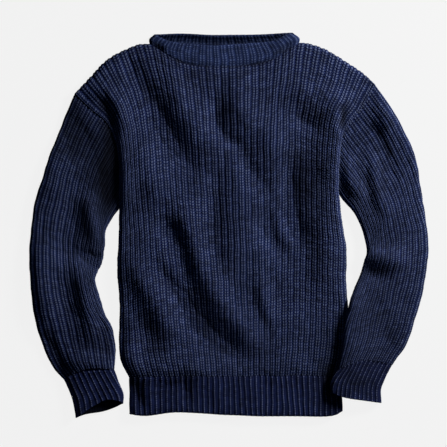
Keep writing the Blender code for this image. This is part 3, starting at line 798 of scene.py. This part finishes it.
trim_wool = wool("navy_trim_wool", *CLOSE_LOOK, TRIM_GAP_SHADE, MIDDLE_BLUE, TRIM_CROWN_HIGHLIGHT, 0.3 * MM)
band_wool = wool("navy_band_wool", *OPEN_LOOK, BAND_GAP_SHADE, MIDDLE_BLUE, BAND_CROWN_HIGHLIGHT, 0.3 * MM)
print("materials:", body_wool.name, trim_wool.name, band_wool.name)

# %% [markdown]
# The front is one panel from the welt to the shoulders. It lies on the back, rolls down to it
# at both sides and along the shoulders, and laps a little over the top of each sleeve. Its
# height is a level plus the folds, never lower than the back allows.

# %% The body's plan
BODY_RIBS = 41
BAND_RIBS = 21
ARMPIT = 0.60  # share of a body side, from the welt up
COLLAR_LEFT = 0.26  # share of the body's top where the neckband starts
COLLAR_RIGHT = 0.74
SEAM = -0.2  # the knitted panels just meet at their seams
SHOULDER_BLEND = 0.03
RIB_HOLD = 5  # how few of the ribs follow the body's sides
NECK_LEVEL = 0.3  # how much heights count along the neck
LEFT_BODY = joined((curve_through(SIDE_LEFT), curve_through(ARMHOLE_LEFT)), (ARMPIT,))
RIGHT_BODY = joined((curve_through(SIDE_RIGHT), curve_through(ARMHOLE_RIGHT)), (ARMPIT,))


def body_plan(neck):
    collar = curve_through(neck, NECK_LEVEL)
    tops = (curve_through(SHOULDER_LEFT), collar, curve_through(SHOULDER_RIGHT))
    top = joined(tops, (COLLAR_LEFT, COLLAR_RIGHT))
    return stretched(curve_through(HEM_SEAM), top, LEFT_BODY, RIGHT_BODY, hold=RIB_HOLD)


def on_shoulder(u):
    """1 along the two shoulders and 0 along the neck."""
    left = 1 - smooth_step(u, COLLAR_LEFT - SHOULDER_BLEND, COLLAR_LEFT)
    return left + smooth_step(u, COLLAR_RIGHT, COLLAR_RIGHT + SHOULDER_BLEND)


def within_seams(v, length):
    """The share along a panel, from its first seam line to its last."""
    seam = SEAM / 2 / length
    return seam + v * (1 - 2 * seam)


def width_along(plan, v):
    return np.linalg.norm(plan(np.ones_like(v), v) - plan(np.zeros_like(v), v), axis=-1)


print("one body rib is about", round((SIDE_RIGHT[5][0] - SIDE_LEFT[5][0]) / BODY_RIBS, 1), "mm wide")

# %% Knit the front
UNDER = 3.2  # top of the layer that rests on the table
CLEAR = 0.3  # space between two layers
BODY_HEIGHT = 11.0
LOWEST_FRONT = 5.2
LAPPED_LEFT = 8.1  # height of its edge where it lies on a sleeve
LAPPED_RIGHT = 10.2
LIP = 0.8
EASED_LEFT = 0.85  # share of its height lost towards the left armhole, whose seam lies flat
EASED_SHARE = 0.05  # of the width
DRAWN_IN = 0.9  # how far the cloth sinks at a seam
SUNKEN_SHARE = 0.02  # of the length
LAP_SHARE = 0.08  # of the width, on a sleeve
LAP_STARTS = (ARMPIT - 0.05, ARMPIT - 0.01)
LEAST_RISE = 1.2  # over the back
KEPT_RISE = 0.6  # of the eased part over its edge
STITCH = 4.9  # length of one stitch
BODY_RELIEF = 2.3


def front_face(u, v, inset, wall):
    v = within_seams(v, BODY_LENGTH)
    width = np.linalg.norm(RIGHT_BODY(v) - LEFT_BODY(v), axis=-1)
    share, up = rolled(u, width, inset)
    shoulder = on_shoulder(u)
    turn = np.sqrt(1 - (1 - np.clip((1 - v) * BODY_LENGTH / ROLL, 0, 1)) ** 2)
    up_all = up * (1 - shoulder * (1 - turn))
    at_top = smooth_step(v, 1 - ROLL / BODY_LENGTH, 1)
    xy = body_plan(NECK_FRONT)(share, v - shoulder * at_top * inset / BODY_LENGTH)
    near_edge = 1 - smooth_step(np.minimum(u, 1 - u), 0.0, LAP_SHARE)
    lap = smooth_step(v, *LAP_STARTS)
    lapped = np.where(u < 0.5, LAPPED_LEFT, LAPPED_RIGHT)
    rim = UNDER + CLEAR + (lapped - UNDER - CLEAR) * lap * near_edge
    low = rim + (0 if wall else LIP)
    crest = BODY_HEIGHT + fold_height(BODY_FOLDS + HEM_FOLDS, xy) + swell(xy)
    seams = smooth_step(v, 0.0, SUNKEN_SHARE) * (1 - (1 - shoulder) * smooth_step(v, 1 - SUNKEN_SHARE, 1))
    crest = np.maximum(crest - DRAWN_IN * (1 - seams), LOWEST_FRONT) - wall
    crest = np.maximum(crest, UNDER + CLEAR + (0 if wall else LEAST_RISE))
    eased = lap * (1 - smooth_step(u, 0.0, EASED_SHARE)) * EASED_LEFT
    crest = crest - np.maximum(crest - low - KEPT_RISE, 0) * eased
    return placed(xy, low + (crest - low) * up_all)


front = knit(
    "front_knit", front_face, BODY_RIBS, BODY_LENGTH / STITCH, OPEN_STRANDS, BODY_RELIEF, 11,
    BODY_DEEPS + NECK_SEAM_DEEPS,
)

# %% [markdown]
# The back is the same panel underneath. It rests on the table, so its knitted side faces down
# with the strands' crowns just on the table, and its upper side is plain and hidden. It has
# fewer and longer stitches, because nobody sees its middle.

# %% Knit the back
REST_RELIEF = 2.0  # depth of the ribs on an underside
BACK_STITCH = 9.8
INNER_INSET = 0.5
EDGE_DROP = 0.4


def resting_face(plan, length):
    """A flat layer on the table, whose ribbed side faces down and turns up at its edges."""

    def face(u, v, inset, wall):
        v = within_seams(v, length)
        width = width_along(plan, v)
        share, up = rolled(u, width, INNER_INSET if wall else 0.0, UNDER_ROLL)
        edge = UNDER - EDGE_DROP
        z = UNDER if wall else edge + (REST_RELIEF - edge) * up
        return placed(plan(share, v), z)

    return face


back_face = resting_face(body_plan(NECK_BACK), BODY_LENGTH)
back = knit(
    "back_knit", back_face, BODY_RIBS, BODY_LENGTH / BACK_STITCH, OPEN_STRANDS, REST_RELIEF, 12
)

# %% [markdown]
# The welt, cuffs and neckband are knitted tighter, with smaller stitches, so the cloth draws in
# and holds its edge. Each is a panel of its own that meets the next one at a sunken seam. The
# free edge is thick and round, which a small drop in height at the last stitches gives.

# %% Knit the welt
TRIM_STITCH = 4.1
TRIM_RELIEF = 1.9
EDGE_ROUND = 5.0


def trim_face(plan, length, heights, folds, free_end):
    """A ribbed band of the upper layer, sewn at one end and free at the other."""

    def face(u, v, inset, wall):
        v = within_seams(v, length)
        width = width_along(plan, v)
        share, up = rolled(u, width, inset)
        xy = plan(share, v)
        to_free = np.abs(free_end - v) * length
        sewn = 1 - smooth_step(length - to_free, 0, EDGE_ROUND)
        crest = np.interp(v, *zip(*heights)) + fold_height(folds, xy) + swell(xy) - wall
        if not wall:
            free = 1 - smooth_step(to_free, 0, EDGE_ROUND)
            crest = crest - DRAWN_IN * free - DRAWN_IN * sewn
        low = UNDER + CLEAR + (0 if wall else LIP)
        return placed(xy, low + (np.maximum(crest, low) - low) * up)

    return face


hem_plan = stretched(*map(curve_through, (HEM_EDGE, HEM_SEAM, HEM_LEFT, HEM_RIGHT)))
hem_heights = ((0, 10.2), (0.8, 10.2), (1, BODY_HEIGHT))
hem_stitches = HEM_LENGTH / TRIM_STITCH
hem_face = trim_face(hem_plan, HEM_LENGTH, hem_heights, BODY_FOLDS + HEM_FOLDS, 0.0)
hem_front = knit(
    "hem_front_knit", hem_face, BODY_RIBS, hem_stitches, CLOSE_STRANDS, TRIM_RELIEF, 13, BODY_DEEPS
)
hem_under = resting_face(hem_plan, HEM_LENGTH)
hem_back = knit(
    "hem_back_knit", hem_under, BODY_RIBS, hem_stitches, CLOSE_STRANDS, REST_RELIEF, 14
)

# %% [markdown]
# The neckband stands up a little from the neck. Its front half dips below its back half, so
# the inside of the back half shows between them as a narrow crescent, dark partly from its slope
# away from the lamp and partly from painted shade. The back half is ribbed on both sides for
# that reason, and its free edge rises from the table.

# %% Knit the neckband
BAND_FOLDS = (
    (-138, 338, -134, 332, -128, 326, 9, -3.2),
    (104, 326, 110, 332, 116, 338, 9, -3.2),
)
band_ends = (curve_through(BAND_LEFT), curve_through(BAND_RIGHT))
front_plan, back_plan = (
    stretched(*(curve_through(edge, NECK_LEVEL) for edge in edges), *band_ends)
    for edges in ((NECK_FRONT, BAND_FRONT_EDGE), (NECK_BACK, BAND_BACK_EDGE))
)
band_heights = ((0, BODY_HEIGHT), (0.35, 12.0), (1, 13.0))
BAND_RELIEF = 1.3
# Painted shade on the lower side of the back half.
UNDER_LIGHT = 0.2  # light on the lower side of the back half
TOP_DEPTHS = (0.3, 1.3)  # of its two sides below the rise, at its ends and elsewhere
LOW_DEPTHS = (1.2, 2.6)
LOWEST_BAND = 0.8
BACK_BAND_RISE = (
    (0.0, UNDER), (0.5, UNDER + 0.4), (0.74, 7.2), (0.87, 10.4), (0.94, 11.2), (1.0, 11.0)
)
# Painted shade on the back half, behind the front half.
BACK_BAND_DEEPS = ((-118, 346, -10, 340, 98, 347, 7, 0.6),)  # behind the front half


def back_band_face(u, v, inset, wall):
    v = within_seams(v, BAND_LENGTH)
    width = width_along(back_plan, v)
    share, up = rolled(u, width, INNER_INSET if wall else 0.0, UNDER_ROLL)
    top = np.interp(v, *zip(*BACK_BAND_RISE))
    if wall:
        z = np.maximum(top - LOW_DEPTHS[1], LOWEST_BAND) * up + (top - LOW_DEPTHS[0]) * (1 - up)
    else:
        z = top - (TOP_DEPTHS[0] + (TOP_DEPTHS[1] - TOP_DEPTHS[0]) * up)
    return placed(back_plan(share, v), z)


band_stitches = BAND_LENGTH / TRIM_STITCH
band_face = trim_face(front_plan, BAND_LENGTH, band_heights, BODY_FOLDS + BAND_FOLDS, 1.0)
band_front = knit(
    "neckband_front_knit", band_face, BAND_RIBS, band_stitches, OPEN_STRANDS, BAND_RELIEF, 15,
    BODY_DEEPS + NECK_SEAM_DEEPS,
)
band_back = knit(
    "neckband_back_knit", back_band_face, BAND_RIBS, band_stitches, OPEN_STRANDS, BAND_RELIEF, 16,
    BACK_BAND_DEEPS, inside=UNDER_LIGHT,
)

# %% [markdown]
# A sleeve is a tube that lies flattened. One part of the blank's width goes over the top and
# the rest back underneath, so the ribs run on round both edges. A table says how large the
# part on top is, which is more at the armhole than at the cuff. The end of the right sleeve
# lies on the body's edge, and another table says how high it is carried there.

# %% Tubes of cloth
SLEEVE_RIBS = 28  # all round
UNDER_WALL = 1.0  # thickness of the layer below
SLEEVE_LOWEST = 6.4
GAPE_LEAN = 1.6
TUCKED_SHARE = 0.02  # of the length
CALM_SHARE = 0.1  # of the length, where folds fade towards the seam
RIGHT_LIFT = (
    (-100, 226, 250, 0.0),
    (-150, 228, 285, 9.5),
    (-190, 228, 300, 12.4),
    (-340, 224, 300, 12.4),
)


def flat_on_table(xy):
    return np.zeros(xy.shape[:-1])


def lift_on_body(xy):
    """How high the right sleeve's end is carried by the body's edge that it lies on."""
    ys, highs, lows, tops = (np.array(column) for column in zip(*RIGHT_LIFT[::-1]))
    y = xy[..., 1]
    full, down = np.interp(y, ys, highs), np.interp(y, ys, lows)
    return np.interp(y, ys, tops) * (1 - smooth_step((xy[..., 0] - full) / (down - full), 0, 1))


def tube_face(plan, length, heights, folds, lift, showing, gape=0.0, tuck=0.0):
    """A flattened tube: its ribs go over the top and then back underneath.

    The rows of showing give a share of the length, the first rib on top, as a share of all
    the ribs, and the share of them that is on top. A gape shortens the top layer at the free
    end, and a tuck lengthens it at the sewn end.
    """
    stations, firsts, shares = zip(*showing)

    def face(u, v, inset, wall):
        v = within_seams(v, length)
        on_top = np.interp(v, stations, shares)
        round_tube = (u - np.interp(v, stations, firsts)) % 1
        over = round_tube <= on_top
        s = np.where(over, round_tube / on_top, (1 - round_tube) / (1 - on_top))
        width = width_along(plan, v)
        v = v * (1 - np.where(over, gape * v * np.sin(np.pi * s**GAPE_LEAN), 0))
        v = v - np.where(over, tuck / length * np.clip(1 - v / TUCKED_SHARE, 0, 1), 0)
        above, up_above = rolled(s, width, inset)
        below, up_below = rolled(s, width, inset, UNDER_ROLL)
        xy = plan(np.where(over, above, below), v)
        uneven = (fold_height(folds, xy) + swell(xy)) * smooth_step(v, 0, CALM_SHARE)
        height = np.maximum(np.interp(v, *zip(*heights)) + uneven, SLEEVE_LOWEST)
        middle = height / 2
        top = middle + (middle - wall) * up_above
        low = middle - (middle - REST_RELIEF - (UNDER_WALL if wall else 0)) * up_below
        return placed(xy, np.where(over, top, low) + lift(xy))

    return face


print("a sleeve has", SLEEVE_RIBS, "ribs all round")

# %% Knit the sleeves
SLEEVE_HEIGHTS = ((0.0, 6.4), (0.05, 8.0), (0.12, 10.4), (0.3, 11.4), (0.93, 11.4), (1.0, 10.2))
SLEEVE_LEFT_HEIGHTS = ((0.0, 7.8), (0.02, 9.2), (0.12, 8.4), (0.36, 11.4), (0.93, 11.4), (1.0, 10.8))
SLEEVE_TUCK = 4.0  # how far a sleeve reaches under the front
LEFT_SHOWING = ((0, 0, 0.68), (0.2, 0, 0.66), (0.45, 0, 0.5), (0.8, 0, 0.39), (1, 0, 0.37))
RIGHT_SHOWING = ((0, 0, 0.62), (0.25, 0, 0.6), (0.5, 0.07, 0.56), (0.8, 0.07, 0.49), (1, 0.07, 0.47))
SLEEVES = {
    "left": (
        ARMHOLE_LEFT, CUFF_LEFT_SEAM, SLEEVE_LEFT_OUTER, SLEEVE_LEFT_INNER,
        SLEEVE_LEFT_HEIGHTS, SLEEVE_LEFT_FOLDS, SLEEVE_LEFT_DEEPS, flat_on_table, LEFT_SHOWING,
    ),
    "right": (
        ARMHOLE_RIGHT, CUFF_RIGHT_SEAM, SLEEVE_RIGHT_OUTER, SLEEVE_RIGHT_INNER,
        SLEEVE_HEIGHTS, SLEEVE_RIGHT_FOLDS, SLEEVE_RIGHT_DEEPS, lift_on_body, RIGHT_SHOWING,
    ),
}


def knit_sleeve(side, armhole, cuff_seam, outer, inner, heights, folds, deeps, lift, showing, seed):
    plan = stretched(*map(curve_through, (armhole[::-1], cuff_seam, outer, inner)))
    face = tube_face(plan, SLEEVE_LENGTH, heights, folds, lift, showing, tuck=SLEEVE_TUCK)
    stitches = SLEEVE_LENGTH / STITCH
    name = f"sleeve_{side}_knit"
    return knit(name, face, SLEEVE_RIBS, stitches, OPEN_STRANDS, REST_RELIEF, seed, deeps, tube=True)


sleeves = {side: knit_sleeve(side, *parts, 17) for side, parts in SLEEVES.items()}

# %% Knit the cuffs
CUFF_HEIGHTS = ((0.0, 9.8), (0.25, 10.0), (0.8, 10.2), (1.0, 9.6))
CUFF_LEFT_HEIGHTS = ((0.0, 10.4), (0.25, 10.6), (0.7, 11.8), (1.0, 13.0))
CUFF_SHOWING = ((0, 0, 0.53), (1, 0, 0.47))
CUFF_LEFT_GAPE = 0.25  # the upper layer of the left cuff ends short of the lower by this share
CUFF_LEFT_RIBS = 20
CUFF_RIGHT_RIBS = 26
CUFFS = {
    "left": (
        (CUFF_LEFT_SEAM, CUFF_LEFT_EDGE, CUFF_LEFT_OUTER, CUFF_LEFT_INNER),
        CUFF_LEFT_HEIGHTS, SLEEVE_LEFT_FOLDS, SLEEVE_LEFT_DEEPS, flat_on_table, CUFF_LEFT_GAPE,
        CUFF_LEFT_RIBS,
    ),
    "right": (
        (CUFF_RIGHT_SEAM, CUFF_RIGHT_EDGE, CUFF_RIGHT_OUTER, CUFF_RIGHT_INNER),
        CUFF_HEIGHTS, SLEEVE_RIGHT_FOLDS, SLEEVE_RIGHT_DEEPS, lift_on_body, 0.0,
        CUFF_RIGHT_RIBS,
    ),
}


def knit_cuff(side, edges, heights, folds, deeps, lift, gape, ribs, seed):
    plan = stretched(*map(curve_through, edges))
    face = tube_face(plan, CUFF_LENGTH, heights, folds, lift, CUFF_SHOWING, gape)
    stitches = CUFF_LENGTH / TRIM_STITCH
    name = f"cuff_{side}_knit"
    return knit(name, face, ribs, stitches, CLOSE_STRANDS, TRIM_RELIEF, seed, deeps, tube=True)


cuffs = {side: knit_cuff(side, *parts, 18) for side, parts in CUFFS.items()}

# %% [markdown]
# Each knitted panel now takes the place of its plain solid, which is hidden. It gets its finish
# as a material and rides on the one body.

# %% Put the panels in place
RIB = (body_wool, "navy_rib_knit")
TRIM = (trim_wool, "navy_trim_knit")
BAND = (band_wool, "navy_trim_knit")
PANELS = (
    (*front, "front", *RIB, ["back"]),
    (*back, "back", *RIB, []),
    (*hem_front, "hem_front", *TRIM, ["hem_back"]),
    (*hem_back, "hem_back", *TRIM, []),
    (*band_front, "neckband_front", *BAND, ["neckband_back"]),
    (*band_back, "neckband_back", *BAND, []),
    (*sleeves["left"], "sleeve_left", *RIB, []),
    (*sleeves["right"], "sleeve_right", *RIB, ["front"]),
    (*cuffs["left"], "cuff_left", *TRIM, []),
    (*cuffs["right"], "cuff_right", *TRIM, ["hem_front"]),
)
for piece, (width, length, area), node, finish, slot, under in PANELS:
    piece.data.materials.append(finish)
    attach(piece, "root")
    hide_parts(node)
    min(area, width * length)
    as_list(under)
print(len(PANELS), "panels ride on the root body")

# %% [markdown]
# A flat lay is shot on a plain pale ground with one large lamp. The lamp stands at the upper
# right, low enough to draw the folds and ribs, and a weaker one overhead keeps the shadows
# soft. The ground glows evenly by itself, so that it stays clean and pale as in a cut-out.

# %% Floor
PALE = 0.876
LAMPS_SHARE = 0.017  # light that the lamps add to the floor
floor_mesh = bmesh.new()
bmesh.ops.create_grid(floor_mesh, x_segments=1, y_segments=1, size=15.0)
floor_data = bpy.data.meshes.new("floor")
floor_mesh.to_mesh(floor_data)
floor_mesh.free()
floor = added("floor", floor_data)

ground = bpy.data.materials.new("pale_ground")
ground.use_nodes = True
GROUND_FINISH = {
    "Base Color": (0.06, 0.06, 0.06, 1),
    "Roughness": 1.0,
    "Specular IOR Level": 0.0,
    "Emission Color": (1, 1, 1, 1),
    "Emission Strength": PALE - LAMPS_SHARE,
}
set_inputs(ground.node_tree.nodes["Principled BSDF"], GROUND_FINISH)
floor_data.materials.append(ground)
floor.visible_diffuse = False
floor.visible_glossy = False
print("the floor is", floor.dimensions.x, "m wide")


# %% Lamps
def lamp(name, place, size, power, colour):
    light = added(name, bpy.data.lights.new(name, "AREA"))
    light.data.shape = "DISK"
    light.data.size = size
    light.data.energy = power
    light.data.color = colour
    light.location = place
    light.rotation_euler = (-Vector(place)).to_track_quat("-Z", "Y").to_euler()


lamp("key", (2.0, 1.3, 0.92), 0.5, 82, (1.0, 0.99, 0.97))
lamp("overhead", (0.2, 0.3, 2.2), 1.2, 2.4, (0.42, 0.64, 1.0))

world = bpy.data.worlds.new("studio")
bpy.context.scene.world = world
world.use_nodes = True
world.node_tree.nodes["Background"].inputs["Color"].default_value = (PALE, PALE, PALE, 1)
world.cycles_visibility.diffuse = False
world.cycles_visibility.glossy = False
bpy.context.scene.view_settings.view_transform = "Standard"
print("two lamps")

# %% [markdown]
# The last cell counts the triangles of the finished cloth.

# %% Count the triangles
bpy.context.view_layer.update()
print("triangles:", sum(len(p.data.polygons) * 2 for p, *_ in PANELS))
